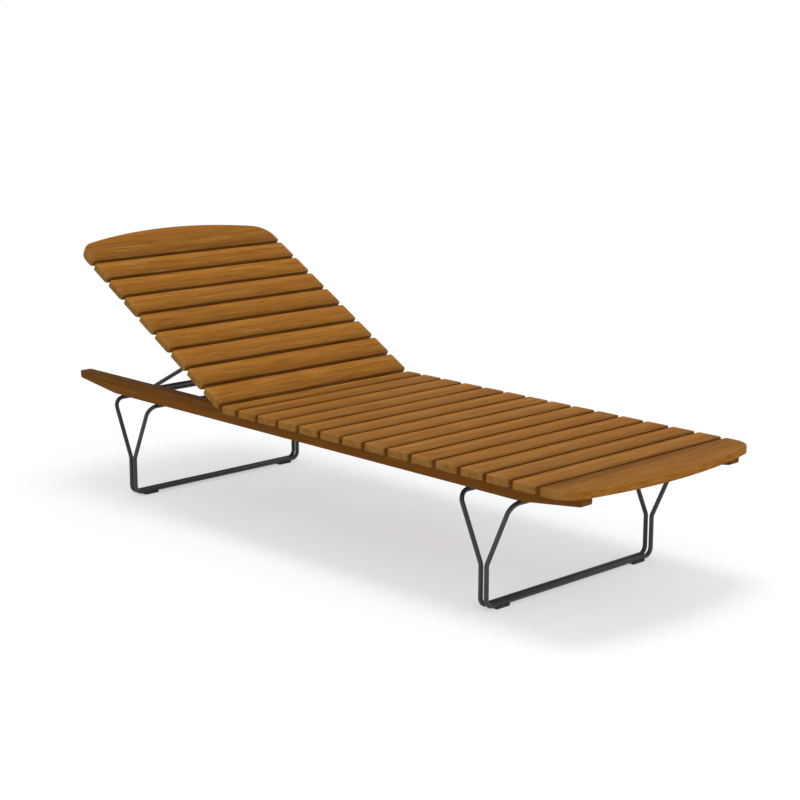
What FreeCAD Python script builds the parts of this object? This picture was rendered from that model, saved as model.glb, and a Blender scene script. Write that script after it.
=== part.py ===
import FreeCAD, Part
import math
import os
import re
import Sketcher
from FreeCAD import Placement, Rotation, Vector

# A low sun lounger: 24 bamboo slats on two bamboo side rails, a backrest that tilts on two hinge
# bolts and leans on a bent steel prop, and two sled legs of paired steel rod. +X points to the
# foot end, +Y to the left of someone lying on it, +Z up. The origin is on the floor, under the
# middle of the lounger's box with the backrest at its usual angle. Lengths are in millimetres.

DIMENSIONS = [
    ("seat_height", 339.3, "floor to the top of the seat slats"),
    ("slat_thickness", 18.0, "every slat"),
    ("slat_length", 677.0, "across the lounger"),
    ("slat_width", 69.5, "one narrow slat"),
    ("slat_gap", 10.5, "between neighbouring slats"),
    ("first_slat_width", 55.0, "the seat slat beside the backrest, cut narrow to let it tilt"),
    ("slat_corner_round", 8.0, "upright corners of a slat"),
    ("slat_edge_round", 3.0, "rounding along a slat's top edges, all the way round"),
    ("foot_slat_width", 123.8, "the wide curved slat at the foot end, at its middle"),
    ("head_slat_width", 118.2, "the wide curved slat at the head end, at its middle"),
    ("end_arc_radius", 1250.0, "curve of a wide slat's outer edge"),
    ("end_corner_radius", 62.0, "outer corners of a wide slat"),
    ("foot_slat_edge", 854.35, "inner edge of the wide foot slat, from the origin"),
    ("rail_centre", -22.1, "middle of the side rails, from the origin"),
    ("rail_length", 1912.0, "one side rail"),
    ("rail_width", 34.0, "across one side rail"),
    ("rail_depth", 43.0, "side rail, top to underside"),
    ("rail_spread", 568.6, "outer face to outer face of the side rails"),
    ("rail_taper", 169.0, "length of the thinned end of a side rail"),
    ("rail_end_depth", 21.8, "side rail's depth at its tip"),
    ("rail_nose_round", 8.0, "underside corner at a rail's tip"),
    ("rail_tip_round", 5.0, "top corner at a rail's tip"),
    ("rail_edge_round", 1.5, "long edges of a rail"),
    ("leg_centre", -24.7, "midway between the two legs, from the origin"),
    ("leg_spread", 1365.2, "between the middles of the two legs"),
    ("leg_span", 599.2, "between the upright rods of one loop, centre to centre"),
    ("rod_diameter", 11.5, "steel rod of the legs"),
    ("rod_pair_spacing", 18.2, "between the two upright rods of a leg, centre to centre"),
    ("leg_top_spread", 162.0, "between the two rods of a leg under the rails, centre to centre"),
    ("kink_height", 110.8, "floor to where a leg's two rods part"),
    ("kink_bend", 20.0, "centre line radius where the rods part"),
    ("floor_bend", 20.0, "centre line radius at the floor"),
    ("top_bend", 28.0, "centre line radius under the rail"),
    ("pad_thickness", 4.0, "rubber under the rods"),
    ("pad_grip", 3.5, "height to which a foot pad reaches up beside the rods"),
    ("pad_length", 45.0, "foot pad along the rods"),
    ("pad_width", 32.5, "foot pad across the rods"),
    ("pad_inset", 9.6, "from the end of the floor bend to a foot pad"),
    ("pad_corner", 3.0, "upright corners of a foot pad"),
    ("plate_thickness", 4.0, "mounting plate between the rods and the rail"),
    ("plate_margin", 4.0, "mounting plate past the middle of each rod"),
    ("plate_setback", 9.0, "mounting plate's edges inside the rail's faces"),
    ("plate_corner", 5.0, "corners of a mounting plate"),
    ("screw_spacing", 96.0, "between the two screws of a plate"),
    ("screw_diameter", 5.0, "shank of a plate screw"),
    ("screw_head", 9.6, "countersunk head of a plate screw"),
    ("screw_length", 28.0, "plate screw, end to end"),
    ("screw_key", 3.0, "hexagon socket of a plate screw, across its flats"),
    ("screw_key_depth", 1.8, "hexagon socket of a plate screw"),
    ("screw_clearance", 0.05, "round a screw's shank"),
    ("hole_spare", 1.0, "hole past the end of the screw, bolt or rod in it"),
    ("hinge_position", -259.8, "hinge axis from the origin"),
    ("hinge_drop", 14.0, "hinge axis below the underside of the backrest slats"),
    ("lay_gap", 0.3, "between the backrest slats and the side rails when it lies flat"),
    ("backrest_angle", 29.6, "tilt of the backrest above level"),
    ("backrest_first_edge", 19.55, "hinge axis to the lower edge of the first backrest slat"),
    ("backrest_rail_width", 30.0, "across one backrest rail"),
    ("backrest_rail_depth", 36.0, "backrest rail, top to underside"),
    ("backrest_rail_lap", 56.45, "backrest rail past the wide head slat's inner edge"),
    ("backrest_rail_taper", 110.0, "length of the thinned head end of a backrest rail"),
    ("backrest_rail_end_depth", 18.0, "backrest rail's depth at its head end"),
    ("backrest_rail_neck", 62.0, "hinge axis to where a backrest rail has its full depth"),
    ("hinge_end_radius", 13.2, "rounded end of a backrest rail about the hinge axis"),
    ("rail_side_gap", 2.3, "between a backrest rail and its side rail"),
    ("hinge_bolt_diameter", 8.0, "shank of a hinge bolt"),
    ("hinge_head_diameter", 15.0, "head of a hinge bolt"),
    ("hinge_head_height", 4.5, "head of a hinge bolt"),
    ("hinge_key", 5.0, "hexagon socket of a hinge bolt, across its flats"),
    ("hinge_key_depth", 2.6, "hexagon socket of a hinge bolt"),
    ("running_clearance", 0.05, "round a turning shaft, on the radius"),
    ("end_play", 0.35, "beside a turning face"),
    ("bush_wall", 2.0, "hinge bushes and prop bushes"),
    ("washer_diameter", 20.0, "washer between a backrest rail and its side rail"),
    ("insert_diameter", 12.0, "threaded insert in a side rail"),
    ("insert_length", 25.0, "threaded insert in a side rail"),
    ("prop_rod_diameter", 11.5, "steel rod of the prop"),
    ("prop_pivot_reach", 256.4, "hinge axis to the prop's pivot, along the backrest"),
    ("prop_pivot_drop", 6.7, "prop's pivot below the hinge axis when the backrest is flat"),
    ("prop_length", 310.4, "prop's pivot to the middle of its foot bar"),
    ("prop_width", 392.0, "between the prop's two arms, centre to centre"),
    ("prop_bend", 16.0, "centre line radius of the prop's bends"),
    ("prop_seat_depth", 22.0, "hole for an end of the prop in a backrest rail"),
    ("rack_thickness", 4.0, "notched rack under the prop's foot bar"),
    ("rack_inset", 8.0, "from the prop's bend to the middle of a rack"),
    ("rack_margin", 9.0, "rack past the middle of the rods that carry it"),
    ("rack_rise", 3.65, "top of a rack above the rods"),
    ("rack_depth", 17.0, "middle of a rack, top to underside"),
    ("rack_clearance", 1.6, "between the prop's foot bar and the top of the racks"),
    ("rack_slope", 2.0, "sloped corner at each end of a rack's top"),
    ("notch_depth", 3.0, "one notch of a rack"),
    ("notch_radius", 6.0, "one notch of a rack"),
    ("notch_pitch", 40.0, "between notches"),
]
NAMES = {name for name, value, meaning in DIMENSIONS}

SEAT_SLATS = 14
BACKREST_SLATS = 8
RACK_NOTCHES = 3
SIDES = {"left": 1, "right": -1}
ENDS = {"head": -1, "foot": 1}
ROUND_THE_HINGE = Vector(0, 1, 0)

# An edge is on a face, or runs along an axis, if it is this near to doing so
NEAR = 0.01

# Places that several pieces share, as formulas of the dimensions
RAIL_TOP = "(seat_height - slat_thickness)"
RAIL_BOTTOM = f"({RAIL_TOP} - rail_depth)"
RAIL_MIDDLE = "(rail_spread / 2 - rail_width / 2)"
RAIL_INSIDE = "(rail_spread / 2 - rail_width)"
SLAT_PITCH = "(slat_width + slat_gap)"
HINGE_HEIGHT = f"({RAIL_TOP} - hinge_drop + lay_gap)"
BACKREST_RAIL_INSIDE = f"({RAIL_INSIDE} - rail_side_gap - backrest_rail_width)"
BACKREST_RAIL_MIDDLE = f"({BACKREST_RAIL_INSIDE} + backrest_rail_width / 2)"
LEG_PLACE = {end: f"(leg_centre + {way} * leg_spread / 2)" for end, way in ENDS.items()}
TOP_ROD_HEIGHT = f"({RAIL_BOTTOM} - plate_thickness - rod_diameter / 2)"
FLOOR_ROD_HEIGHT = "(pad_thickness + rod_diameter / 2)"
PAD_MIDDLE = "(leg_span / 2 - floor_bend - pad_inset - pad_length / 2)"
HINGE_BUSH_RADIUS = "(hinge_bolt_diameter / 2 + running_clearance + bush_wall)"
PROP_BUSH_RADIUS = "(prop_rod_diameter / 2 + running_clearance + bush_wall)"
RACK_TOP = "(rod_diameter / 2 + rack_rise)"
RACK_MIDDLE = "(prop_width / 2 - prop_bend - rack_inset)"
PROP_TIP = f"({BACKREST_RAIL_INSIDE} + prop_seat_depth - hole_spare)"
HEAD_SLAT_EDGE = f"(backrest_first_edge + {BACKREST_SLATS} * {SLAT_PITCH})"
BACKREST_RAIL_REACH = f"({HEAD_SLAT_EDGE} + backrest_rail_lap)"


def on_backrest(along, above):
    """x and z of a point a distance along the backrest from its hinge, and above the axis."""
    x = f"(hinge_position - {along} * cos(backrest_angle) + {above} * sin(backrest_angle))"
    z = f"({HINGE_HEIGHT} + {along} * sin(backrest_angle) + {above} * cos(backrest_angle))"
    return x, z


PIVOT_X, PIVOT_Z = on_backrest("prop_pivot_reach", "(-prop_pivot_drop)")
BAR_Z = f"({TOP_ROD_HEIGHT} + {RACK_TOP} + rack_clearance + prop_rod_diameter / 2)"
PROP_ANGLE = f"asin(({PIVOT_Z} - {BAR_Z}) / prop_length)"
BAR_X = f"({PIVOT_X} - sqrt(prop_length ^ 2 - ({PIVOT_Z} - {BAR_Z}) ^ 2))"

doc = FreeCAD.newDocument("Lounger")
sheet = doc.addObject("Spreadsheet::Sheet", "Dimensions")
for row, (name, value, meaning) in enumerate(DIMENSIONS, start=1):
    sheet.set(f"A{row}", meaning)
    sheet.set(f"B{row}", str(value))
    sheet.setAlias(f"B{row}", name)
doc.recompute()


def size(name):
    return float(sheet.get(name))


def formula(text):
    """Point each dimension's name in a formula at its cell."""
    return re.sub(r"[a-z_]+", lambda word: "Dimensions." + word[0] if word[0] in NAMES else word[0], text)


def bind(thing, **formulas):
    """Tie properties to formulas; a double underscore in a name stands for a full stop."""
    for name, text in formulas.items():
        thing.setExpression(name.replace("__", "."), formula(text))


def place(thing, x="0", y="0", z="0"):
    bind(thing, Placement__Base__x=x, Placement__Base__y=y, Placement__Base__z=z)


def place_on_backrest(thing, along="0", above="0", y="0"):
    """Set a piece that is drawn level onto the tilted backrest."""
    x, z = on_backrest(along, above)
    thing.Placement = Placement(Vector(), Rotation(ROUND_THE_HINGE, 10))
    bind(thing, Placement__Rotation__Angle="backrest_angle")
    place(thing, x, y, z)


def place_across(thing, side, x, reach, z):
    """Point a piece that is drawn upright outwards, starting a reach from the middle."""
    thing.Placement = Placement(Vector(), Rotation(Vector(1, 0, 0), -90 * side))
    place(thing, x, f"{side} * {reach}", z)


def new_body(label):
    body = doc.addObject("PartDesign::Body", label)
    body.Label = label
    return body


def new_sketch(body, name, role):
    sketch = body.newObject("Sketcher::SketchObject", f"{body.Name}_{name}")
    plane = next(plane for plane in body.Origin.OriginFeatures if plane.Role == role)
    sketch.AttachmentSupport = [(plane, "")]
    sketch.MapMode = "FlatFace"
    return sketch


def constrain(sketch, kind, *references, value=None):
    """Add a constraint; one with a value starts as drawn and is then bound to its formula."""
    if value is None:
        sketch.addConstraint(Sketcher.Constraint(kind, *references))
        return
    if kind == "Radius":
        drawn = sketch.Geometry[references[0]].Radius
    else:
        point = sketch.getPoint(references[2], references[3])
        drawn = point.x if kind == "DistanceX" else point.y
    number = sketch.addConstraint(Sketcher.Constraint(kind, *references, drawn))
    bind(sketch, **{f"Constraints[{number}]": value})


def polygon(sketch, corners):
    """A closed outline of straight lines through corners given as pairs of formulas."""
    count = len(corners)
    ring = [Vector(math.cos(math.tau * i / count), math.sin(math.tau * i / count)) for i in range(count)]
    for i in range(count):
        sketch.addGeometry(Part.LineSegment(ring[i], ring[(i + 1) % count]))
    for i, (across, up) in enumerate(corners):
        constrain(sketch, "Coincident", i, 2, (i + 1) % count, 1)
        constrain(sketch, "DistanceX", -1, 1, i, 1, value=across)
        constrain(sketch, "DistanceY", -1, 1, i, 1, value=up)


def rectangle(sketch, width, height):
    corners = [(-1, -1), (1, -1), (1, 1), (-1, 1)]
    polygon(sketch, [(f"{u} * {width} / 2", f"{v} * {height} / 2") for u, v in corners])


def hexagon(sketch, across_flats):
    """A hexagon about the sketch's origin, with two of its sides level."""
    radius = f"{across_flats} / sqrt(3)"
    polygon(sketch, [(f"{radius} * cos({turn})", f"{radius} * sin({turn})") for turn in range(0, 360, 60)])


def circle(sketch, radius):
    number = sketch.addGeometry(Part.Circle(Vector(), Vector(0, 0, 1), 1))
    constrain(sketch, "Coincident", number, 3, -1, 1)
    constrain(sketch, "Radius", number, value=radius)


def pad(body, sketch, length, both_ways=False):
    feature = body.newObject("PartDesign::Pad", body.Name + "_pad")
    feature.Profile = sketch
    feature.Midplane = both_ways
    bind(feature, Length=length)
    doc.recompute()
    return feature


def revolve(body, sketch):
    feature = body.newObject("PartDesign::Revolution", body.Name + "_turned")
    feature.Profile = sketch
    feature.ReferenceAxis = (sketch, ["V_Axis"])
    feature.Angle = 360
    doc.recompute()
    return feature


def fillet(body, feature, name, radius, wanted):
    """Round the edges of a feature whose middle and direction pass the test."""
    picked = []
    for number, edge in enumerate(feature.Shape.Edges, start=1):
        middle = sum(edge.ParameterRange) / 2
        if wanted(edge.valueAt(middle), edge.tangentAt(middle)):
            picked.append(f"Edge{number}")
    rounding = body.newObject("PartDesign::Fillet", f"{body.Name}_{name}")
    rounding.Base = (feature, picked)
    bind(rounding, Radius=radius)
    doc.recompute()
    return rounding


def drill(body, name, radius, length, x="0", y="0", z="0", axis=Vector(0, 0, 1)):
    """Take a round hole out of a body, starting at a point and running along an axis."""
    hole = body.newObject("PartDesign::SubtractiveCylinder", f"{body.Name}_{name}")
    hole.Placement = Placement(Vector(), Rotation(Vector(0, 0, 1), axis))
    bind(hole, Radius=radius, Height=length)
    place(hole, x, y, z)
    doc.recompute()
    return hole


def cut_socket(body, across_flats, depth):
    """Cut the hexagon socket of a bolt or screw whose head starts at zero height."""
    key = new_sketch(body, "key", "XY_Plane")
    hexagon(key, across_flats)
    socket = body.newObject("PartDesign::Pocket", body.Name + "_socket")
    socket.Profile = key
    socket.Reversed = True
    bind(socket, Length=depth)
    doc.recompute()


def sleeve(label, outer_radius, inner_radius, length):
    """A tube standing on zero height."""
    body = new_body(label)
    ring = new_sketch(body, "ring", "XY_Plane")
    circle(ring, outer_radius)
    circle(ring, inner_radius)
    pad(body, ring, length)
    return body


# Slats
def narrow_slat(label, width="slat_width"):
    """A straight slat about its own middle, with its underside at zero height."""
    body = new_body(label)
    outline = new_sketch(body, "outline", "XY_Plane")
    rectangle(outline, width, "slat_length")
    board = pad(body, outline, "slat_thickness")
    top = size("slat_thickness") - NEAR
    corners = fillet(
        body, board, "corners", "slat_corner_round", lambda at, along: abs(along.z) > 1 - NEAR,
    )
    fillet(body, corners, "edges", "slat_edge_round", lambda at, along: at.z > top)
    return body


def wide_slat(end):
    """The curved slat of one end, from the middle of its inner edge; its arc faces along X."""
    label, width, way = f"{end}_end_slat", f"{end}_slat_width", ENDS[end]
    body = new_body(label)
    outline = new_sketch(body, "outline", "XY_Plane")
    half = size("slat_length") / 2
    tip = size(width)
    side = tip - size("end_arc_radius") + math.sqrt(size("end_arc_radius") ** 2 - half ** 2)
    inner = [Vector(0, -half * way), Vector(0, half * way)]
    outer = [Vector(side * way, -half * way), Vector(side * way, half * way)]
    outline.addGeometry(Part.LineSegment(inner[1], inner[0]))
    outline.addGeometry(Part.LineSegment(inner[0], outer[0]))
    outline.addGeometry(Part.Arc(outer[0], Vector(tip * way, 0), outer[1]))
    outline.addGeometry(Part.LineSegment(outer[1], inner[1]))
    for first, second in [(0, 1), (1, 2), (2, 3), (3, 0)]:
        constrain(outline, "Coincident", first, 2, second, 1)
    constrain(outline, "Horizontal", 1)
    constrain(outline, "Horizontal", 3)
    for end, sign in [(1, way), (2, -way)]:
        constrain(outline, "DistanceX", -1, 1, 0, end, value="0")
        constrain(outline, "DistanceY", -1, 1, 0, end, value=f"{sign} * slat_length / 2")
    constrain(outline, "DistanceX", -1, 1, 2, 3, value=f"{way} * ({width} - end_arc_radius)")
    constrain(outline, "DistanceY", -1, 1, 2, 3, value="0")
    constrain(outline, "Radius", 2, value="end_arc_radius")
    board = pad(body, outline, "slat_thickness")
    outer_corners = fillet(
        body, board, "outer_corners", "end_corner_radius",
        lambda at, along: abs(along.z) > 1 - NEAR and abs(at.x) > NEAR,
    )
    inner_corners = fillet(
        body, outer_corners, "inner_corners", "slat_corner_round",
        lambda at, along: abs(along.z) > 1 - NEAR and abs(at.x) < NEAR,
    )
    top = size("slat_thickness") - NEAR
    fillet(body, inner_corners, "edges", "slat_edge_round", lambda at, along: at.z > top)
    return body


def seat_slats():
    """Slat 1 is beside the backrest and narrow; the rest are counted towards the foot."""
    slats = []
    for number in range(1, SEAT_SLATS + 1):
        width = "first_slat_width" if number == 1 else "slat_width"
        slat = narrow_slat(f"seat_slat_{number:02d}", width)
        far_edge = f"foot_slat_edge - slat_gap - {SEAT_SLATS - number} * {SLAT_PITCH}"
        place(slat, x=f"{far_edge} - {width} / 2", z=RAIL_TOP)
        slats.append(slat)
    foot = wide_slat("foot")
    place(foot, x="foot_slat_edge", z=RAIL_TOP)
    return slats + [foot]


def backrest_slats():
    """Counted from the hinge towards the head."""
    slats = []
    for number in range(1, BACKREST_SLATS + 1):
        slat = narrow_slat(f"backrest_slat_{number:02d}")
        along = f"(backrest_first_edge + {number - 1} * {SLAT_PITCH} + slat_width / 2)"
        place_on_backrest(slat, along, "hinge_drop")
        slats.append(slat)
    head = wide_slat("head")
    place_on_backrest(head, HEAD_SLAT_EDGE, "hinge_drop")
    return slats + [head]


# Rails
def side_rail(name, side):
    """A rail from its own middle, with its top at zero height and both ends thinned below."""
    body = new_body(f"{name}_side_rail")
    outline = new_sketch(body, "outline", "XZ_Plane")
    tip = "rail_length / 2"
    kink = "(rail_length / 2 - rail_taper)"
    corners = [
        (f"-{tip}", "0"), (f"-{tip}", "-rail_end_depth"), (f"-{kink}", "-rail_depth"),
        (kink, "-rail_depth"), (tip, "-rail_end_depth"), (tip, "0"),
    ]
    polygon(outline, corners)
    board = pad(body, outline, "rail_width", both_ways=True)
    far = size("rail_length") / 2 - NEAR
    low = -size("rail_end_depth") + NEAR
    tips = fillet(
        body, board, "tips", "rail_tip_round",
        lambda at, along: abs(at.x) > far and at.z > -NEAR and abs(along.y) > 1 - NEAR,
    )
    noses = fillet(
        body, tips, "noses", "rail_nose_round",
        lambda at, along: abs(at.x) > far and at.z < low and abs(along.y) > 1 - NEAR,
    )
    face = size("rail_width") / 2 - NEAR
    fillet(body, noses, "edges", "rail_edge_round", lambda at, along: abs(at.y) > face)
    inner_face = f"{-side} * rail_width / 2"
    hinge_x = "hinge_position - rail_centre"
    hinge_z = "lay_gap - hinge_drop"
    drill(
        body, "insert_hole", "insert_diameter / 2", "insert_length",
        hinge_x, inner_face, hinge_z, Vector(0, side, 0),
    )
    for end in ENDS:
        for turn in (-1, 1):
            pilot_x = f"{LEG_PLACE[end]} - rail_centre + {turn} * screw_spacing / 2"
            depth = "screw_length - plate_thickness + hole_spare"
            drill(body, f"{end}_pilot", "screw_diameter / 2", depth, x=pilot_x, z="-rail_depth")
    place(body, x="rail_centre", y=f"{side} * {RAIL_MIDDLE}", z=RAIL_TOP)
    return body


def backrest_rail(name, side):
    """A rail drawn level about the hinge axis, which it meets in a rounded end."""
    body = new_body(f"{name}_backrest_rail")
    outline = new_sketch(body, "outline", "XZ_Plane")
    underside = "(hinge_drop - backrest_rail_depth)"
    corners = [
        (f"-{BACKREST_RAIL_REACH}", "hinge_drop"),
        (f"-{BACKREST_RAIL_REACH}", "hinge_drop - backrest_rail_end_depth"),
        (f"backrest_rail_taper - {BACKREST_RAIL_REACH}", underside),
        ("-backrest_rail_neck", underside),
        ("0", "-hinge_end_radius"),
        ("0", "0"),
        ("-hinge_end_radius / 2", "hinge_drop"),
    ]
    polygon(outline, corners)
    pad(body, outline, "backrest_rail_width", both_ways=True)
    knuckle = body.newObject("PartDesign::AdditiveCylinder", body.Name + "_knuckle")
    knuckle.Placement = Placement(Vector(), Rotation(Vector(0, 0, 1), Vector(0, 1, 0)))
    bind(knuckle, Radius="hinge_end_radius", Height="backrest_rail_width")
    place(knuckle, y="-backrest_rail_width / 2")
    doc.recompute()
    low = size("hinge_drop") - size("backrest_rail_end_depth") + NEAR
    head_end = min(edge.BoundBox.XMin for edge in knuckle.Shape.Edges) + NEAR
    fillet(
        body, knuckle, "nose", "rail_nose_round",
        lambda at, along: at.x < head_end and at.z < low and abs(along.y) > 1 - NEAR,
    )
    middle = "backrest_rail_width / 2"
    drill(body, "bush_hole", HINGE_BUSH_RADIUS, "backrest_rail_width", y=f"-{middle}", axis=Vector(0, 1, 0))
    drill(
        body, "prop_hole", PROP_BUSH_RADIUS, "prop_seat_depth",
        "-prop_pivot_reach", f"{-side} * {middle}", "-prop_pivot_drop", Vector(0, side, 0),
    )
    place_on_backrest(body, y=f"{side} * {BACKREST_RAIL_MIDDLE}")
    return body


# Hinge hardware
def hinge_bolt(name, side):
    """The bolt passes the backrest rail from inside and ends in the side rail's insert."""
    body = new_body(f"{name}_hinge_bolt")
    profile = new_sketch(body, "profile", "XZ_Plane")
    grip = "(hinge_head_height + end_play + backrest_rail_width + rail_side_gap)"
    tip = f"({grip} + insert_length - hole_spare)"
    head, shank = "hinge_head_diameter / 2", "hinge_bolt_diameter / 2"
    corners = [
        ("0", "0"), (head, "0"), (head, "hinge_head_height"),
        (shank, "hinge_head_height"), (shank, tip), ("0", tip),
    ]
    polygon(profile, corners)
    revolve(body, profile)
    cut_socket(body, "hinge_key", "hinge_key_depth")
    reach = f"({BACKREST_RAIL_INSIDE} - end_play - hinge_head_height)"
    place_across(body, side, "hinge_position", reach, HINGE_HEIGHT)
    return body


def hinge_bush(name, side):
    inner = "hinge_bolt_diameter / 2 + running_clearance"
    bush = sleeve(f"{name}_hinge_bush", HINGE_BUSH_RADIUS, inner, "backrest_rail_width")
    place_across(bush, side, "hinge_position", BACKREST_RAIL_INSIDE, HINGE_HEIGHT)
    return bush


def hinge_washer(name, side):
    """The washer lies against the side rail and leaves the backrest rail its end play."""
    inner = "hinge_bolt_diameter / 2 + running_clearance"
    washer = sleeve(f"{name}_hinge_washer", "washer_diameter / 2", inner, "rail_side_gap - end_play")
    reach = f"({RAIL_INSIDE} - rail_side_gap + end_play)"
    place_across(washer, side, "hinge_position", reach, HINGE_HEIGHT)
    return washer


def hinge_insert(name, side):
    outer, inner = "insert_diameter / 2", "hinge_bolt_diameter / 2"
    insert = sleeve(f"{name}_hinge_insert", outer, inner, "insert_length")
    place_across(insert, side, "hinge_position", RAIL_INSIDE, HINGE_HEIGHT)
    return insert


# Prop
def prop_bail():
    """One rod, bent flat: two arms, the foot bar between them and an end turned out from each."""
    body = new_body("prop_bail")
    route = new_sketch(body, "route", "XY_Plane")
    bend, reach = size("prop_bend"), size("prop_length")
    half, tip = size("prop_width") / 2, size("prop_width") / 2 + 3 * bend
    corners = [Vector(0, half), Vector(-reach, half), Vector(-reach, -half), Vector(0, -half)]
    stops = [Vector(0, tip)] + corners + [Vector(0, -tip)]
    lines = []
    for number, (first, last) in enumerate(zip(stops, stops[1:])):
        along = (last - first).normalize() * bend
        start = first + along if number else first
        end = last - along if number < len(corners) else last
        lines.append(route.addGeometry(Part.LineSegment(start, end)))
    bends = []
    for corner, before, after in zip(corners, stops, stops[2:]):
        back, on = (before - corner).normalize(), (after - corner).normalize()
        centre = corner + (back + on) * bend
        middle = centre - (back + on).normalize() * bend
        bends.append(route.addGeometry(Part.Arc(corner + back * bend, middle, corner + on * bend)))
    for before, turn, after in zip(lines, bends, lines[1:]):
        first = 1 if route.getPoint(turn, 1).distanceToPoint(route.getPoint(before, 2)) < NEAR else 2
        constrain(route, "Tangent", before, 2, turn, first)
        constrain(route, "Tangent", turn, 3 - first, after, 1)
        constrain(route, "Radius", turn, value="prop_bend")
    stub, arm, bar, far_arm, far_stub = lines
    for line in (stub, bar, far_stub):
        constrain(route, "Vertical", line)
    for line in (arm, far_arm):
        constrain(route, "Horizontal", line)
    constrain(route, "DistanceX", -1, 1, stub, 1, value="0")
    constrain(route, "DistanceX", -1, 1, far_stub, 2, value="0")
    constrain(route, "DistanceX", -1, 1, bar, 1, value="-prop_length")
    constrain(route, "DistanceY", -1, 1, stub, 1, value=PROP_TIP)
    constrain(route, "DistanceY", -1, 1, far_stub, 2, value=f"-{PROP_TIP}")
    constrain(route, "DistanceY", -1, 1, arm, 1, value="prop_width / 2")
    constrain(route, "DistanceY", -1, 1, far_arm, 1, value="-prop_width / 2")
    section = new_sketch(body, "section", "XZ_Plane")
    circle(section, "prop_rod_diameter / 2")
    bind(section, AttachmentOffset__Base__z=f"-{PROP_TIP}")
    doc.recompute()
    pipe = body.newObject("PartDesign::AdditivePipe", body.Name + "_rod")
    pipe.Profile = section
    pipe.Spine = (route, [f"Edge{number}" for number in range(1, len(lines + bends) + 1)])
    doc.recompute()
    body.Placement = Placement(Vector(), Rotation(ROUND_THE_HINGE, -10))
    bind(body, Placement__Rotation__Angle=f"-{PROP_ANGLE}")
    place(body, x=PIVOT_X, z=PIVOT_Z)
    return body


def prop_bush(name, side):
    inner = "prop_rod_diameter / 2 + running_clearance"
    bush = sleeve(f"{name}_prop_bush", PROP_BUSH_RADIUS, inner, "prop_seat_depth")
    place_across(bush, side, PIVOT_X, BACKREST_RAIL_INSIDE, PIVOT_Z)
    return bush


def prop_rack(name, side):
    """A notched plate that stands on the head leg's two rods, drawn about the middle of them."""
    body = new_body(f"{name}_prop_rack")
    outline = new_sketch(body, "outline", "XZ_Plane")
    rod, end = "leg_top_spread / 2", "(leg_top_spread / 2 + rack_margin)"
    shoulder = f"({rod} - rod_diameter)"
    belly = f"({rod} - 2 * rod_diameter)"
    low = f"({RACK_TOP} - rack_depth)"
    half = [
        (end, f"{RACK_TOP} - rack_slope"), (f"{end} - rack_slope", RACK_TOP),
        (f"rack_slope - {end}", RACK_TOP), (f"-{end}", f"{RACK_TOP} - rack_slope"),
        (f"-{end}", "0"), (f"-{shoulder}", "0"), (f"-{belly}", low),
        (belly, low), (shoulder, "0"), (end, "0"),
    ]
    polygon(outline, half)
    pad(body, outline, "rack_thickness", both_ways=True)
    back = "-rack_thickness / 2"
    for end_name, way in ENDS.items():
        drill(
            body, f"{end_name}_saddle", "rod_diameter / 2", "rack_thickness",
            f"{way} * {rod}", back, "0", Vector(0, 1, 0),
        )
    notch = drill(
        body, "notch", "notch_radius", "rack_thickness",
        f"{BAR_X} - {LEG_PLACE['head']}", back, f"{RACK_TOP} - notch_depth + notch_radius", Vector(0, 1, 0),
    )
    notches = body.newObject("PartDesign::LinearPattern", body.Name + "_notches")
    notches.Originals = [notch]
    notches.Direction = (next(axis for axis in body.Origin.OriginFeatures if axis.Role == "X_Axis"), [""])
    notches.Occurrences = RACK_NOTCHES
    bind(notches, Length=f"{RACK_NOTCHES - 1} * notch_pitch")
    body.Tip = notches
    place(body, x=LEG_PLACE["head"], y=f"{side} * {RACK_MIDDLE}", z=TOP_ROD_HEIGHT)
    return body


# Legs
def rounded_loop(corners, radii):
    """Edges of a closed route: an arc at each corner, and lines that start mid-way to the first."""
    bends = []
    for i, corner in enumerate(corners):
        back = (corners[i - 1] - corner).normalize()
        on = (corners[(i + 1) % len(corners)] - corner).normalize()
        turn = math.pi - back.getAngle(on)
        reach = radii[i] * math.tan(turn / 2)
        centre = corner + (back + on).normalize() * (radii[i] / math.cos(turn / 2))
        middle = centre + (corner - centre).normalize() * radii[i]
        bends.append((corner + back * reach, middle, corner + on * reach))
    start = (bends[-1][2] + bends[0][0]) * 0.5
    edges = []
    here = start
    for first, middle, last in bends:
        edges.append(Part.LineSegment(here, first).toShape())
        edges.append(Part.Arc(first, middle, last).toShape())
        here = last
    edges.append(Part.LineSegment(here, start).toShape())
    return start, edges


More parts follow.
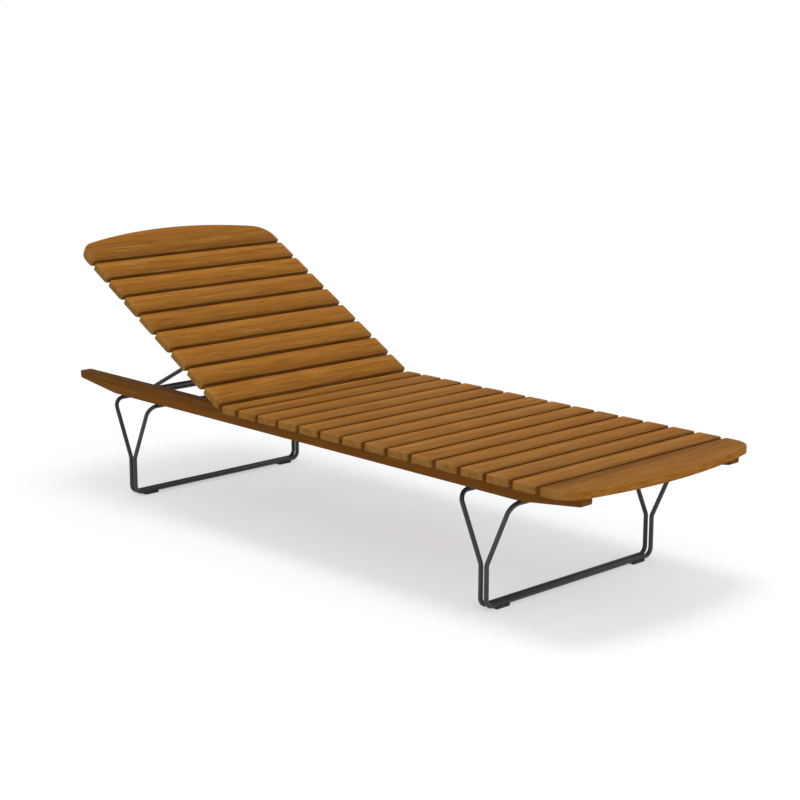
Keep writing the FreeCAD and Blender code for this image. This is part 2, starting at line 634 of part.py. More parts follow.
def leg_rod(end, kind, way):
    """One closed rod loop of a leg: flat on the floor, upright, then splayed out to the rails."""
    name = f"{end}_leg_{kind}_rod"
    centre = size("leg_centre") + ENDS[end] * size("leg_spread") / 2
    near = centre + way * size("rod_pair_spacing") / 2
    far = centre + way * size("leg_top_spread") / 2
    half = size("leg_span") / 2
    floor = size("pad_thickness") + size("rod_diameter") / 2
    kink = size("kink_height")
    rail_bottom = size("seat_height") - size("slat_thickness") - size("rail_depth")
    top = rail_bottom - size("plate_thickness") - size("rod_diameter") / 2
    corners = [
        Vector(near, half, floor), Vector(near, half, kink), Vector(far, half, top),
        Vector(far, -half, top), Vector(near, -half, kink), Vector(near, -half, floor),
    ]
    floor_bend, kink_bend, top_bend = size("floor_bend"), size("kink_bend"), size("top_bend")
    bends = [floor_bend, kink_bend, top_bend, top_bend, kink_bend, floor_bend]
    start, edges = rounded_loop(corners, bends)
    route = doc.addObject("Part::Feature", name + "_route")
    route.Shape = Part.Wire(edges)
    section = doc.addObject("Part::Circle", name + "_section")
    section.Placement = Placement(start, Rotation(Vector(0, 0, 1), corners[0] - start))
    bind(section, Radius="rod_diameter / 2")
    rod = doc.addObject("Part::Sweep", name)
    rod.Label = name
    rod.Sections = [section]
    rod.Spine = (route, [f"Edge{number}" for number in range(1, len(edges) + 1)])
    rod.Solid = True
    return rod


def foot_pad(end, name, side):
    """A rubber block clipped on the two floor rods."""
    body = new_body(f"{end}_{name}_foot_pad")
    outline = new_sketch(body, "outline", "XY_Plane")
    rectangle(outline, "pad_width", "pad_length")
    block = pad(body, outline, "pad_thickness + pad_grip")
    fillet(body, block, "corners", "pad_corner", lambda at, along: abs(along.z) > 1 - NEAR)
    for kind, way in (("head", -1), ("foot", 1)):
        groove_x = f"{way} * rod_pair_spacing / 2"
        drill(
            body, f"{kind}_groove", "rod_diameter / 2", "pad_length",
            groove_x, "-pad_length / 2", FLOOR_ROD_HEIGHT, Vector(0, 1, 0),
        )
    place(body, x=LEG_PLACE[end], y=f"{side} * {PAD_MIDDLE}")
    return body


def mounting_plate(end, name, side):
    """A steel plate welded across the two top rods and screwed up into the rail."""
    body = new_body(f"{end}_{name}_mounting_plate")
    outline = new_sketch(body, "outline", "XY_Plane")
    rectangle(outline, "(leg_top_spread + 2 * plate_margin)", "(rail_width - 2 * plate_setback)")
    sheet_metal = pad(body, outline, "plate_thickness")
    fillet(body, sheet_metal, "corners", "plate_corner", lambda at, along: abs(along.z) > 1 - NEAR)
    for kind, way in (("head", -1), ("foot", 1)):
        x = f"{way} * screw_spacing / 2"
        hole = "screw_diameter / 2 + screw_clearance"
        drill(body, f"{kind}_hole", hole, "plate_thickness", x=x)
        sink = body.newObject("PartDesign::SubtractiveCone", f"{body.Name}_{kind}_sink")
        bind(sink, Radius1="screw_head / 2", Radius2=hole, Height="(screw_head - screw_diameter) / 2")
        place(sink, x=x)
        doc.recompute()
    place(
        body, x=LEG_PLACE[end], y=f"{side} * {RAIL_MIDDLE}",
        z=f"{RAIL_BOTTOM} - plate_thickness",
    )
    return body


def plate_screws(end, name, side):
    """The two countersunk screws of one mounting plate."""
    label = f"{end}_{name}_plate_screws"
    screws = []
    for kind, way in (("head", -1), ("foot", 1)):
        screw = new_body(f"{label}_{kind}")
        profile = new_sketch(screw, "profile", "XZ_Plane")
        head, shank = "screw_head / 2", "screw_diameter / 2"
        corners = [
            ("0", "0"), (head, "0"), (shank, f"{head} - {shank}"),
            (shank, f"screw_length - {shank}"), ("0", "screw_length"),
        ]
        polygon(profile, corners)
        revolve(screw, profile)
        cut_socket(screw, "screw_key", "screw_key_depth")
        place(
            screw, x=f"{LEG_PLACE[end]} + {way} * screw_spacing / 2",
            y=f"{side} * {RAIL_MIDDLE}", z=f"{RAIL_BOTTOM} - plate_thickness",
        )
        screws.append(screw)
    pair = doc.addObject("Part::Compound", label)
    pair.Label = label
    pair.Links = screws
    return pair


def assemble():
    pieces = seat_slats() + backrest_slats()
    for name, side in SIDES.items():
        pieces += [side_rail(name, side), backrest_rail(name, side)]
        pieces += [hinge_bolt(name, side), hinge_bush(name, side)]
        pieces += [hinge_washer(name, side), hinge_insert(name, side)]
        pieces += [prop_bush(name, side), prop_rack(name, side)]
        for end in ENDS:
            pieces += [foot_pad(end, name, side), mounting_plate(end, name, side)]
            pieces.append(plate_screws(end, name, side))
    for end, outward in ENDS.items():
        pieces += [leg_rod(end, "outer", outward), leg_rod(end, "inner", -outward)]
    pieces.append(prop_bail())
    doc.recompute()
    return pieces


def check(pieces):
    for thing in doc.Objects:
        if "Invalid" in thing.State or "Error" in thing.State:
            raise RuntimeError(f"{thing.Label} could not be built: {thing.State}")
    for piece in pieces:
        if piece.Shape.isNull() or not piece.Shape.isValid():
            raise RuntimeError(f"{piece.Label} has no valid shape")


def export(pieces):
    os.makedirs("parts", exist_ok=True)
    for piece in pieces:
        piece.Shape.exportStep(f"parts/{piece.Label}.step")
        print(f"{piece.Label}: solids {len(piece.Shape.Solids)}, {piece.Shape.Volume / 1000:.1f} cm3")


pieces = assemble()
check(pieces)
export(pieces)
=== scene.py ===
import math
import bmesh
import bpy
from mathutils import Matrix, Vector


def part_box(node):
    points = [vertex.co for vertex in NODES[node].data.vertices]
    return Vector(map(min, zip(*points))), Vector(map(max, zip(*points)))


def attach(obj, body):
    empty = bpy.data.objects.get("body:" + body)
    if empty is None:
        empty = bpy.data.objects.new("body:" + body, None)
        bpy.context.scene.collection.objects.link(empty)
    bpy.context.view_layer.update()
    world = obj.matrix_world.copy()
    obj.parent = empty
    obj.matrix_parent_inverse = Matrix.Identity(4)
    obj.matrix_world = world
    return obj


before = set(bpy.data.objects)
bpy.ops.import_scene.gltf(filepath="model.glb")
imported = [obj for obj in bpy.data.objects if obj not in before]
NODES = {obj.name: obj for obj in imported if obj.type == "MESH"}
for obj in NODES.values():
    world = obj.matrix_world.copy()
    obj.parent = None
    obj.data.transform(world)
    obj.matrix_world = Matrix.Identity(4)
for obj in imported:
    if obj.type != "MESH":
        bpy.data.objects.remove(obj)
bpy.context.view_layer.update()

SIDES = {"left": 1, "right": -1}

# The photograph's camera, in metres and degrees
IMAGE_WIDTH = 800
FOCAL_LENGTH_PIXELS = 1800.18
PRINCIPAL_POINT = (399.49, 398.41)
SENSOR_WIDTH = 36.0
CAMERA_PLACE = Vector((3.36706, -3.16089, 1.36196))
CAMERA_AZIMUTH = math.radians(46.2475)
CAMERA_ELEVATION = math.radians(12.361)
CAMERA_ROLL = math.radians(0.122)

# Lamps: place, power in watts and width
SOFTBOX = ((0.15, 0.18, 6.2), 112, 2.4)
FOOT_END_FILL = ((6.2, -0.8, 1.5), 58, 3.0)
LAMP_AIM = Vector((0, 0, 0.3))
ROOM_LIGHT = 0.66

# The floor: its own white, the white that the camera sees, and how far its shadow is kept
FLOOR_SIZE = 40
PAPER = (0.80, 0.80, 0.80)
PAPER_SEEN = (0.595, 0.620, 0.642)
FLOOR_GLOW = 0.472
SHADOW_REACH = (1.7, 1.1)

# The slats. A gap's place is its middle, along the seat or up the backrest from the hinge
SLAT_PITCH = 0.080
SLAT_EDGE = 0.00525
SLAT_END = 0.3385
FIRST_GAP = -0.2709
SEAT_SLATS = 15
BACKREST_FIRST_GAP = 0.0143
BACKREST_SLATS = 8
HINGE = Vector((-0.2598, 0.0, 0.3076))
BACKREST_ANGLE = math.radians(29.6)
SEAT_RING_HEIGHT = 0.318
BACKREST_RING_HEIGHT = 0.012
RING_CENTRE = 0.056
RING_SPACING = 0.0052

# The rails: the middle of each, and the glue between the two boards of a side rail, where the painted
# shade above it ends
SIDE_RAIL_MIDDLE = 0.2673
BACKREST_RAIL_MIDDLE = 0.233
RAIL_GLUE_LINE = 0.3028

# Screws under the slats, with how far each step of a head drops and how much it draws in.
# The first slat is narrower, so its screws sit further along
SCREW_WASHER = 0.0058
WASHER_THICKNESS = 0.0008
SCREW_HEAD = 0.0040
HEAD_STEPS = ((0.0006, 1.0), (0.0005, 0.94), (0.0003, 0.80))
RECESS_RIM = 0.0010
RECESS_DEPTH = 0.0011
RECESS_LOBES = 6
LOBE_REACH = 0.16
FIRST_SCREW_SHIFT = 0.012
PLATE_CLEARANCE = 0.008

# A rail's underside is found by a ray from this height, or from this far under the backrest
PROBE_HEIGHT = 0.1
PROBE_DROP = 0.15

# Welds beside the rods, under the mounting plates. A bead swells from its tip and dips in ripples
ROD_RADIUS = 0.00575
WELD_TIP = 0.0011
WELD_SWELL = 1.9
WELD_DIP = 0.86
WELD_RIPPLE = 0.0022
WELD_BESIDE_ROD = 0.0046
WELD_BELOW_PLATE = 0.0009
WELD_SHORTER_THAN_PLATE = 0.006

# Bamboo: its streaks and fibres, the slats' ends and their rings, and a side rail's two boards, the
# upper one darker with painted shade under the slats' overhang
BAMBOO_DARK = (0.165, 0.056, 0.006)
BAMBOO_BROWN = (0.258, 0.096, 0.011)
BAMBOO_GOLD = (0.318, 0.132, 0.019)
BAMBOO_PALE = (0.405, 0.188, 0.040)
BAMBOO_RED = (0.290, 0.096, 0.014)
END_GRAIN = (0.345, 0.152, 0.028)
RING_PALE = (0.470, 0.255, 0.075)
OLIVE = (0.092, 0.038, 0.005)
RUSSET = (0.160, 0.055, 0.007)


class Value:
    """A node's output that adds Math nodes when it is used in arithmetic."""

    def __init__(self, finish, socket):
        self.finish = finish
        self.socket = socket

    def math(self, operation, *values):
        sockets = dict(enumerate((self, *values)))
        return self.finish.node("ShaderNodeMath", {"operation": operation}, sockets)

    def __add__(self, other):
        return self.math("ADD", other)

    def __sub__(self, other):
        return self.math("SUBTRACT", other)

    def __rsub__(self, other):
        return self * -1 + other

    def __mul__(self, other):
        return self.math("MULTIPLY", other)

    def __truediv__(self, other):
        return self.math("DIVIDE", other)

    __radd__ = __add__
    __rmul__ = __mul__

    def __abs__(self):
        return self.math("ABSOLUTE")

    def power(self, exponent):
        return self.math("POWER", exponent)

    def step(self, low, high):
        """Goes smoothly from 0 at low to 1 at high."""
        settings = {"interpolation_type": "SMOOTHSTEP"}
        return self.finish.node("ShaderNodeMapRange", settings, {0: self, 1: low, 2: high})


class Finish:
    """A material's or the world's nodes."""

    def __init__(self, holder):
        self.holder = holder
        holder.use_nodes = True
        self.tree = holder.node_tree
        self.tree.nodes.clear()

    def node(self, kind, settings=None, sockets=None, output=0):
        """Adds a node: its settings first, then the values or links of its inputs."""
        node = self.tree.nodes.new(kind)
        for name, setting in (settings or {}).items():
            setattr(node, name, setting)
        for key, value in (sockets or {}).items():
            socket = node.inputs[key]
            if isinstance(value, Value):
                self.tree.links.new(value.socket, socket)
            elif socket.type == "RGBA":
                socket.default_value = (*value, 1)
            else:
                socket.default_value = value
        if node.outputs:
            return Value(self, node.outputs[output])

    def place(self, scale=(1, 1, 1), turn=(0, 0, 0), shift=(0, 0, 0)):
        """Object coordinates, moved, turned and then scaled for a pattern."""
        place = self.node("ShaderNodeTexCoord", output=3)
        if any(turn) or any(shift):
            sockets = {0: place, 1: shift, 2: turn}
            place = self.node("ShaderNodeMapping", {"vector_type": "TEXTURE"}, sockets)
        return self.node("ShaderNodeMapping", None, {0: place, 3: scale})

    def axes(self, vector):
        """A vector's three numbers."""
        split = self.node("ShaderNodeSeparateXYZ", None, {0: vector})
        return [Value(self, socket) for socket in split.socket.node.outputs]

    def facing(self, axis, turn=(0, 0, 0)):
        """How much the surface faces along an axis: 1 across it, 0 beside it."""
        normal = self.node("ShaderNodeTexCoord", output=1)
        normal = self.node("ShaderNodeMapping", {"vector_type": "TEXTURE"}, {0: normal, 2: turn})
        return abs(self.axes(normal)[axis])

    def noise(self, place, detail=2.0, roughness=0.5):
        sockets = {"Vector": place, "Scale": 1.0, "Detail": detail, "Roughness": roughness}
        return self.node("ShaderNodeTexNoise", None, sockets)

    def pores(self, place):
        sockets = {"Vector": place, "Scale": 1.0}
        return self.node("ShaderNodeTexVoronoi", {"feature": "F1"}, sockets)

    def mix(self, factor, first, second):
        sockets = {0: factor, 6: first, 7: second}
        return self.node("ShaderNodeMix", {"data_type": "RGBA"}, sockets, output=2)

    def shade(self, colour, factor):
        """A colour made darker or lighter by a factor."""
        return self.node("ShaderNodeVectorMath", {"operation": "SCALE"}, {0: colour, 3: factor})

    def bump(self, height, strength, distance):
        sockets = {"Strength": strength, "Distance": distance, "Height": height}
        return self.node("ShaderNodeBump", None, sockets)

    def seen(self, first_way, second_way):
        """1 for a ray of either of two ways of looking, which are outputs of Light Path."""
        first = self.node("ShaderNodeLightPath", output=first_way)
        second = self.node("ShaderNodeLightPath", output=second_way)
        return first.math("MAXIMUM", second)

    def surface(self, **sockets):
        named = {name.replace("_", " "): value for name, value in sockets.items()}
        shader = self.node("ShaderNodeBsdfPrincipled", None, named)
        self.node("ShaderNodeOutputMaterial", None, {"Surface": shader})
        return self.holder


def new_finish(name):
    return Finish(bpy.data.materials.new(name))


def board_tones(finish, body, on_board, board, last_board, lit_side):
    """Gives each board its own tone, a painted highlight as a pale band near its upper edge, painted
    shade along its lower edge and beside the gaps, and the wide boards darker towards their inner edge.
    """
    chance = finish.node("ShaderNodeTexWhiteNoise", {"noise_dimensions": "1D"}, {"W": board})
    wide = board.math("GREATER_THAN", last_board - 0.5)
    far_edge = SLAT_PITCH - SLAT_EDGE
    # The pale band is a painted highlight and the darker edge is painted shade; their sides depend on
    # which side faces the light
    if lit_side < 0:
        pale = on_board.step(0.008, 0.020) * (1 - on_board.step(0.024, 0.040))
        painted_shade = on_board.step(0.050, 0.076)
        near_gap_shade, far_gap_shade = 0.0043, 0.0012
    else:
        pale = on_board.step(0.044, 0.060) * (1 - on_board.step(0.064, 0.074))
        painted_shade = 1 - on_board.step(0.006, 0.034)
        near_gap_shade, far_gap_shade = 0.0014, 0.0030
    # Painted shade beside the gaps, on both edges of a narrow board and the near edge of a wide one
    gap_shade = 1 - on_board.step(SLAT_EDGE + near_gap_shade * 0.7, SLAT_EDGE + near_gap_shade * 1.1)
    gap_shade = gap_shade + on_board.step(far_edge - far_gap_shade * 1.1, far_edge - far_gap_shade * 0.7) * (1 - wide)
    narrow_tone = 0.96 + 0.08 * chance + 0.25 * pale - 0.24 * painted_shade
    # The wide boards are darker towards their inner edge, by the gap
    wide_tone = 0.70 + 0.28 * on_board.step(0.014, 0.050) + 0.10 * on_board.step(0.065, 0.110)
    tone = narrow_tone * (1 - wide) + wide_tone * wide
    return finish.shade(body, tone * (1 - 0.20 * gap_shade))


def end_rings(on_board, depth, stain):
    """The pale arcs of the pressed layers on a slat's end, 0 between them and 1 on them."""
    across = on_board - RING_CENTRE + 0.008 * (stain - 0.5)
    radius = (across * across + depth * depth * 2.2).power(0.5)
    return (0.5 + 0.5 * (radius * (math.tau / RING_SPACING)).math("SINE")).power(1.3)


def slat_layers(finish, body, place, stain, pores, boards):
    """The colours of a slat's faces and of its ends, with the arcs that run from one to the other."""
    first_gap, last_board, lit_side, ring_height = boards
    across, sideways, height = finish.axes(place)
    reach = abs(across - first_gap)
    board = (reach / SLAT_PITCH).math("FLOOR").math("MINIMUM", last_board)
    on_board = reach - board * SLAT_PITCH
    body = board_tones(finish, body, on_board, board, last_board, lit_side)
    inward = (SLAT_END - abs(sideways)).math("MAXIMUM", 0.0)
    rings = end_rings(on_board, height - ring_height + inward, stain)
    patches = stain.step(0.25, 0.60)
    near_end = 1 - inward.step(0.003, 0.024)
    body = finish.mix(rings * patches * near_end * 0.40, body, RING_PALE)
    # The ends carry painted light: lighter towards the top and darker towards the bottom, besides their
    # pores and stains
    end_tone_and_shading = 0.60 + 0.10 * pores + 0.16 * stain + 6.0 * (height - ring_height)
    end_colour = finish.shade(END_GRAIN, end_tone_and_shading)
    return body, finish.mix(rings * patches * 0.80, end_colour, RING_PALE)


def rail_layers(finish, body, place, stain, pores):
    """Two boards pressed into one rail, olive above and russet below, with the glue between them; the
    upper board is also darker as painted shade under the slats' overhang.
    """
    height = finish.axes(place)[2]
    # Above the glue the rail is olive and darker, painted shade under the slats' overhang
    upper = height.step(RAIL_GLUE_LINE - 0.0004, RAIL_GLUE_LINE + 0.0004)
    body = finish.mix(0.58, body, finish.mix(upper, RUSSET, OLIVE))
    glue = 1 - abs(height - RAIL_GLUE_LINE).step(0.0002, 0.0009)
    end_colour = finish.shade(OLIVE, 1.2 + 0.5 * pores + 0.6 * stain)
    return finish.shade(body, 1 - 0.35 * glue), end_colour


def bamboo(name, grain, turn=0.0, shift=(0, 0, 0), boards=None):
    """Pressed bamboo. Grain is the axis its fibres run along, once the piece is turned level."""
    finish = new_finish(name)
    level = {"turn": (0, turn, 0), "shift": shift}

    def stretched(across, along):
        """A pattern's place, with its scale per metre across the fibres and along them."""
        scale = [across, across, across]
        scale[grain] = along
        return finish.place(scale, **level)

    bands = finish.noise(stretched(38, 2.2), detail=1.5)
    streaks = finish.noise(stretched(270, 8.0), detail=3, roughness=0.6)
    fibres = finish.noise(stretched(900, 22), detail=2, roughness=0.65)
    hue = finish.noise(stretched(24, 1.6), detail=1)
    tone = 0.24 * bands + 0.50 * streaks + 0.26 * fibres
    body = finish.mix(tone.step(0.39, 0.61), BAMBOO_BROWN, BAMBOO_GOLD)
    body = finish.mix(streaks.step(0.57, 0.70) * 0.80, body, BAMBOO_PALE)
    body = finish.mix((1 - streaks.step(0.30, 0.44)) * 0.85, body, BAMBOO_DARK)
    body = finish.mix(hue.step(0.50, 0.68) * 0.30, body, BAMBOO_RED)

    pores = finish.pores(finish.place((620, 620, 620), **level))
    stain = finish.noise(finish.place((60, 60, 60), **level), detail=2)
    place = finish.place(**level)
    if boards:
        body, end_colour = slat_layers(finish, body, place, stain, pores, boards)
    else:
        body, end_colour = rail_layers(finish, body, place, stain, pores)
    end_face = finish.facing(grain, (0, turn, 0)).step(0.45, 0.95)

    relief = 0.6 * fibres + 0.4 * streaks
    return finish.surface(
        Base_Color=finish.mix(end_face * 0.85, body, end_colour),
        Roughness=0.60 + 0.16 * (fibres - 0.5) + 0.12 * end_face,
        Specular_IOR_Level=0.04,
        Normal=finish.bump(relief, 0.35, 0.0006),
    )


def powder_coat(name, colour, roughness):
    """Paint baked on steel: even and satin, with the slight orange peel of powder."""
    finish = new_finish(name)
    peel = finish.noise(finish.place((700, 700, 700)), detail=1)
    cloud = finish.noise(finish.place((30, 30, 30)), detail=2)
    return finish.surface(
        Base_Color=finish.shade(colour, 0.9 + 0.2 * cloud),
        Roughness=roughness + 0.10 * (peel - 0.5),
        Normal=finish.bump(peel, 0.25, 0.0003),
    )


def moulded(name, colour, roughness, grain):
    """Rubber or nylon, with a fine spark-eroded grain and a little dust in it."""
    finish = new_finish(name)
    spark = finish.noise(finish.place((grain, grain, grain)), detail=3, roughness=0.7)
    dust = finish.noise(finish.place((55, 55, 55)), detail=3)
    return finish.surface(
        Base_Color=finish.shade(colour, 0.8 + 0.5 * dust.step(0.4, 0.7)),
        Roughness=roughness + 0.15 * (spark - 0.5),
        Normal=finish.bump(spark, 0.4, 0.0004),
    )


def turned_metal(name, colour, roughness, blush):
    """Plated or solid metal with the fine lines that turning leaves round its axis."""
    finish = new_finish(name)
    lines = finish.noise(finish.place((2500, 160, 2500)), detail=2)
    cloud = finish.noise(finish.place((90, 90, 90)), detail=3)
    return finish.surface(
        Base_Color=finish.mix(cloud.step(0.35, 0.7), colour, blush),
        Metallic=1.0,
        Roughness=roughness + 0.18 * (lines - 0.5) + 0.10 * (cloud - 0.5),
        Normal=finish.bump(lines, 0.15, 0.0002),
    )


def dress_nodes():
    """Gives every CAD node its finish."""
    leaning = {"turn": BACKREST_ANGLE, "shift": HINGE}
    seat_boards = (FIRST_GAP, SEAT_SLATS - 1, -1, SEAT_RING_HEIGHT)
    backrest_boards = (-BACKREST_FIRST_GAP, BACKREST_SLATS, 1, BACKREST_RING_HEIGHT)
    seat = bamboo("seat slats", grain=1, boards=seat_boards)
    back = bamboo("backrest slats", grain=1, boards=backrest_boards, **leaning)
    side_rails = bamboo("side rails", grain=0)
    back_rails = bamboo("backrest rails", grain=0, **leaning)
    steel = powder_coat("black powder coat", (0.033, 0.033, 0.033), 0.40)
    zinc = turned_metal("zinc plate", (0.62, 0.63, 0.64), 0.36, (0.56, 0.56, 0.52))
    brass = turned_metal("brass", (0.72, 0.53, 0.24), 0.34, (0.60, 0.42, 0.18))
    nylon = moulded("black nylon", (0.030, 0.030, 0.031), 0.55, 1400)
    rubber = moulded("black rubber", (0.022, 0.022, 0.022), 0.75, 900)
    finishes = [
        ("seat_slat", seat), ("foot_end_slat", seat),
        ("backrest_slat", back), ("head_end_slat", back),
        ("side_rail", side_rails), ("backrest_rail", back_rails),
        ("_rod", steel), ("prop_bail", steel), ("prop_rack", steel), ("mounting_plate", steel),
        ("plate_screws", zinc), ("hinge_bolt", zinc), ("hinge_washer", zinc),
        ("hinge_insert", brass), ("hinge_bush", nylon), ("prop_bush", nylon),
        ("foot_pad", rubber),
    ]
    for node, obj in NODES.items():
        material = next(material for word, material in finishes if word in node)
        for slot in obj.material_slots:
            slot.material = material
    return steel, zinc


def deselect():
    bpy.ops.object.select_all(action="DESELECT")


def pick_lowest_face(obj):
    """Selects the face of an edited piece that lies lowest and faces down."""
    bpy.ops.mesh.select_all(action="DESELECT")
    bpy.context.tool_settings.mesh_select_mode = (False, False, True)
    mesh = bmesh.from_edit_mesh(obj.data)
    lowest = min(mesh.faces, key=lambda face: (round(face.calc_center_median().z, 6), face.normal.z))
    lowest.select_set(True)
    bmesh.update_edit_mesh(obj.data)


def shape_recess(obj):
    """Pushes the picked corners of an edited piece in and out by turns, into lobes."""
    mesh = bmesh.from_edit_mesh(obj.data)
    for vert in mesh.verts:
        if vert.select:
            lobe = math.cos(RECESS_LOBES * math.atan2(vert.co.y, vert.co.x))
            vert.co.xy *= 1 + LOBE_REACH * lobe
    bmesh.update_edit_mesh(obj.data)


def model_screw():
    """A pan-head screw seen from its head, which faces down: washer, dome and lobed recess."""
    deselect()
    bpy.ops.mesh.primitive_cylinder_add(
        vertices=24, radius=SCREW_WASHER, depth=WASHER_THICKNESS, location=(0, 0, -WASHER_THICKNESS / 2),
    )
    screw = bpy.context.object
    bpy.ops.object.mode_set(mode="EDIT")
    pick_lowest_face(screw)
    bpy.ops.mesh.inset(thickness=SCREW_WASHER - SCREW_HEAD)
    for drop, shrink in HEAD_STEPS:
        bpy.ops.mesh.extrude_region_move(TRANSFORM_OT_translate={"value": (0, 0, -drop)})
        bpy.ops.transform.resize(value=(shrink, shrink, 1))
    bpy.ops.mesh.inset(thickness=RECESS_RIM)
    shape_recess(screw)
    bpy.ops.mesh.extrude_region_move(TRANSFORM_OT_translate={"value": (0, 0, RECESS_DEPTH)})
    bpy.ops.object.mode_set(mode="OBJECT")
    bpy.ops.object.shade_smooth_by_angle(angle=math.radians(35))
    return screw


def model_weld(length):
    """A weld bead along Y: a round strip in even ripples, drawn in at both ends."""
    deselect()
    bpy.ops.mesh.primitive_circle_add(
        vertices=10, radius=WELD_TIP, fill_type="NGON",
        location=(0, -length / 2, 0), rotation=(math.radians(90), 0, 0),
    )
    weld = bpy.context.object
    bpy.ops.object.transform_apply(location=True, rotation=True)
    bpy.ops.object.mode_set(mode="EDIT")
    bpy.ops.mesh.select_all(action="SELECT")
    ripples = round(length / WELD_RIPPLE)
    forward = (0, length / ripples / 2, 0)
    for size in [WELD_SWELL] + [WELD_DIP, 1 / WELD_DIP] * (ripples - 1) + [1 / WELD_SWELL]:
        bpy.ops.mesh.extrude_region_move(TRANSFORM_OT_translate={"value": forward})
        bpy.ops.transform.resize(value=(size, 1, size))
    bpy.ops.mesh.select_all(action="SELECT")
    bpy.ops.mesh.normals_make_consistent(inside=False)
    bpy.ops.object.mode_set(mode="OBJECT")
    bpy.ops.object.shade_smooth_by_angle(angle=math.radians(60))
    return weld


def set_out(name, model, places, body, material):
    """Copies a modelled piece to its places and joins the copies into one piece."""
    copies = []
    for place in places:
        copy = bpy.data.objects.new(name, model.data.copy())
        bpy.context.collection.objects.link(copy)
        copy.data.transform(place)
        copies.append(copy)
    deselect()
    for copy in copies:
        copy.select_set(True)
    bpy.context.view_layer.objects.active = copies[0]
    bpy.ops.object.join()
    piece = bpy.context.object
    piece.name = name
    piece.data.materials.clear()
    piece.data.materials.append(material)
    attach(piece, body)


def seat_screw_places(side, way):
    """Places on a side rail's underside, one under each slat, except over a mounting plate."""
    rail = NODES[f"{side}_side_rail"]
    plates = [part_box(node) for node in NODES if "mounting_plate" in node]
    places = []
    for slat in range(SEAT_SLATS):
        along = FIRST_GAP + (slat + 0.5) * SLAT_PITCH + (0 if slat else FIRST_SCREW_SHIFT)
        if any(low[0] - PLATE_CLEARANCE < along < high[0] + PLATE_CLEARANCE for low, high in plates):
            continue
        below = Vector((along, way * SIDE_RAIL_MIDDLE, PROBE_HEIGHT))
        spot = rail.ray_cast(below, Vector((0, 0, 1)))[1]
        places.append(Matrix.Translation(spot))
    return places


def backrest_screw_places(side, way):
    """Places on a backrest rail's underside, one under each narrow slat."""
    rail = NODES[f"{side}_backrest_rail"]
    turn = Matrix.Rotation(BACKREST_ANGLE, 4, "Y")
    normal = turn @ Vector((0, 0, 1))
    up_backrest = turn @ Vector((-1, 0, 0))
    places = []
    for slat in range(BACKREST_SLATS):
        middle = BACKREST_FIRST_GAP + (slat + 0.5) * SLAT_PITCH
        below = HINGE + up_backrest * middle - normal * PROBE_DROP
        below.y = way * BACKREST_RAIL_MIDDLE
        spot = rail.ray_cast(below, normal)[1]
        places.append(Matrix.Translation(spot) @ turn)
    return places


def drive_slat_screws(zinc):
    """Screws that hold the slats from below, up through the rails, but not the head end slat."""
    screw = model_screw()
    for side, way in SIDES.items():
        set_out(f"{side}_seat_screws", screw, seat_screw_places(side, way), "base", zinc)
        set_out(f"{side}_backrest_screws", screw, backrest_screw_places(side, way), "backrest", zinc)
    bpy.data.objects.remove(screw)


def lay_welds(steel):
    """Weld beads along both sides of each rod under its mounting plates."""
    for end in ("head", "foot"):
        places = []
        for side in SIDES:
            low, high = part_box(f"{end}_{side}_mounting_plate")
            centre = (low[0] + high[0]) / 2
            middle = (low[1] + high[1]) / 2
            for loop in ("outer", "inner"):
                rod_low, rod_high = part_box(f"{end}_leg_{loop}_rod")
                if rod_high[0] - centre > centre - rod_low[0]:
                    rod = rod_high[0] - ROD_RADIUS
                else:
                    rod = rod_low[0] + ROD_RADIUS
                for way in (-1, 1):
                    spot = (rod + way * WELD_BESIDE_ROD, middle, low[2] - WELD_BELOW_PLATE)
                    places.append(Matrix.Translation(spot))
        weld = model_weld(high[1] - low[1] - WELD_SHORTER_THAN_PLATE)
        set_out(f"{end}_leg_welds", weld, places, "base", steel)
        bpy.data.objects.remove(weld)


def light(name, place, power, width):
    lamp = bpy.data.lights.new(name, "AREA")
    lamp.energy = power
    lamp.shape = "DISK"
    lamp.size = width
    obj = bpy.data.objects.new(name, lamp)
    bpy.context.collection.objects.link(obj)
    obj.location = place
    obj.rotation_euler = (LAMP_AIM - Vector(place)).to_track_quat("-Z", "Y").to_euler()


def light_the_studio():
    """A round softbox high over the lounger, a fill at its foot end, and an even white room."""
    light("softbox", *SOFTBOX)
    light("foot end fill", *FOOT_END_FILL)
    world = bpy.data.worlds.new("white room")
    bpy.context.scene.world = world
    room = Finish(world)
    strength = ROOM_LIGHT + (1 - ROOM_LIGHT) * room.seen("Is Camera Ray", "Is Transmission Ray")
    background = room.node("ShaderNodeBackground", None, {"Color": (1, 1, 1), "Strength": strength})
    room.node("ShaderNodeOutputWorld", None, {"Surface": background})


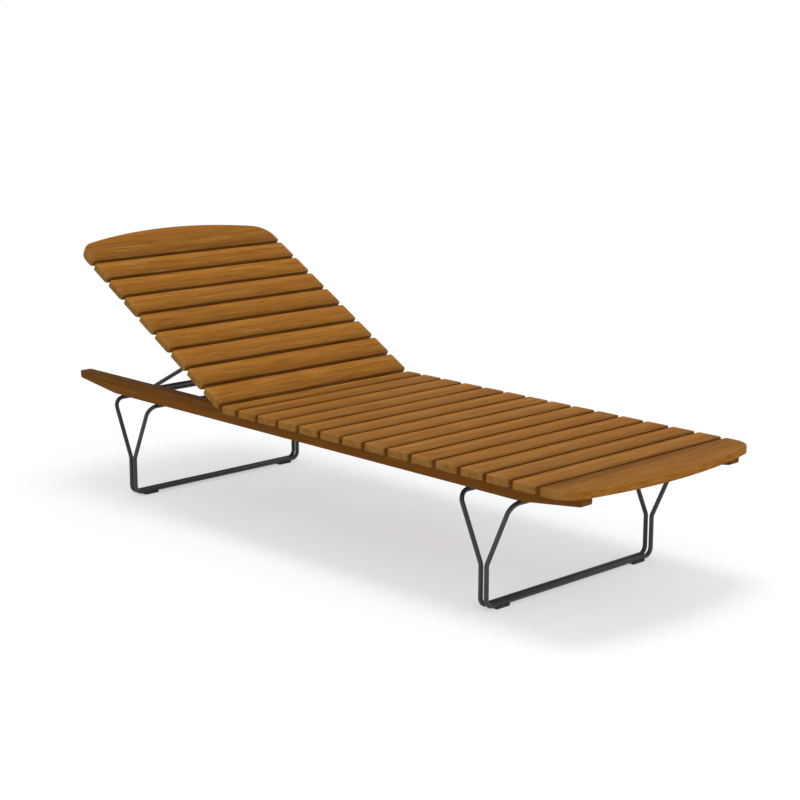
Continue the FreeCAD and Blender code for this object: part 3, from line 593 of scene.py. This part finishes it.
def lay_floor():
    """A pale floor that keeps the shadow and turns pure white further out."""
    bpy.ops.mesh.primitive_plane_add(size=FLOOR_SIZE)
    floor = bpy.context.object
    floor.name = "floor"
    finish = new_finish("pale floor")
    across, along, _ = finish.axes(finish.node("ShaderNodeTexCoord", output=3))
    reach = [(value / width).power(2.0) for value, width in zip((across, along), SHADOW_REACH)]
    distance = (reach[0] + reach[1]).power(0.5)
    shown = finish.seen("Is Camera Ray", "Is Glossy Ray")
    colour = finish.mix(shown, PAPER, PAPER_SEEN)
    paper = finish.node("ShaderNodeBsdfDiffuse", None, {"Color": colour})
    glow = finish.node("ShaderNodeEmission", None, {"Strength": shown * FLOOR_GLOW})
    lit = finish.node("ShaderNodeAddShader", None, {0: paper, 1: glow})
    white = finish.node("ShaderNodeEmission", None, {"Strength": 1.0})
    faded = distance.step(1.0, 1.6) * shown
    surface = finish.node("ShaderNodeMixShader", None, {0: faded, 1: lit, 2: white})
    finish.node("ShaderNodeOutputMaterial", None, {"Surface": surface})
    floor.data.materials.append(finish.holder)


def set_camera():
    data = bpy.data.cameras.new("camera")
    data.sensor_fit = "HORIZONTAL"
    data.sensor_width = SENSOR_WIDTH
    data.lens = FOCAL_LENGTH_PIXELS / IMAGE_WIDTH * SENSOR_WIDTH
    data.shift_x = (IMAGE_WIDTH / 2 - PRINCIPAL_POINT[0]) / IMAGE_WIDTH
    data.shift_y = (PRINCIPAL_POINT[1] - IMAGE_WIDTH / 2) / IMAGE_WIDTH
    data.clip_end = 100
    camera = bpy.data.objects.new("camera", data)
    bpy.context.collection.objects.link(camera)
    back = Vector((
        math.sin(CAMERA_AZIMUTH) * math.cos(CAMERA_ELEVATION),
        -math.cos(CAMERA_AZIMUTH) * math.cos(CAMERA_ELEVATION),
        math.sin(CAMERA_ELEVATION),
    ))
    right = Vector((0, 0, 1)).cross(back).normalized()
    up = back.cross(right)
    turned_right = right * math.cos(CAMERA_ROLL) + up * math.sin(CAMERA_ROLL)
    turned_up = up * math.cos(CAMERA_ROLL) - right * math.sin(CAMERA_ROLL)
    turn = Matrix((turned_right, turned_up, back)).transposed().to_4x4()
    camera.matrix_world = Matrix.Translation(CAMERA_PLACE) @ turn
    bpy.context.scene.camera = camera


bpy.context.scene.view_settings.view_transform = "Standard"
set_camera()
light_the_studio()
lay_floor()
steel, zinc = dress_nodes()
drive_slat_screws(zinc)
lay_welds(steel)
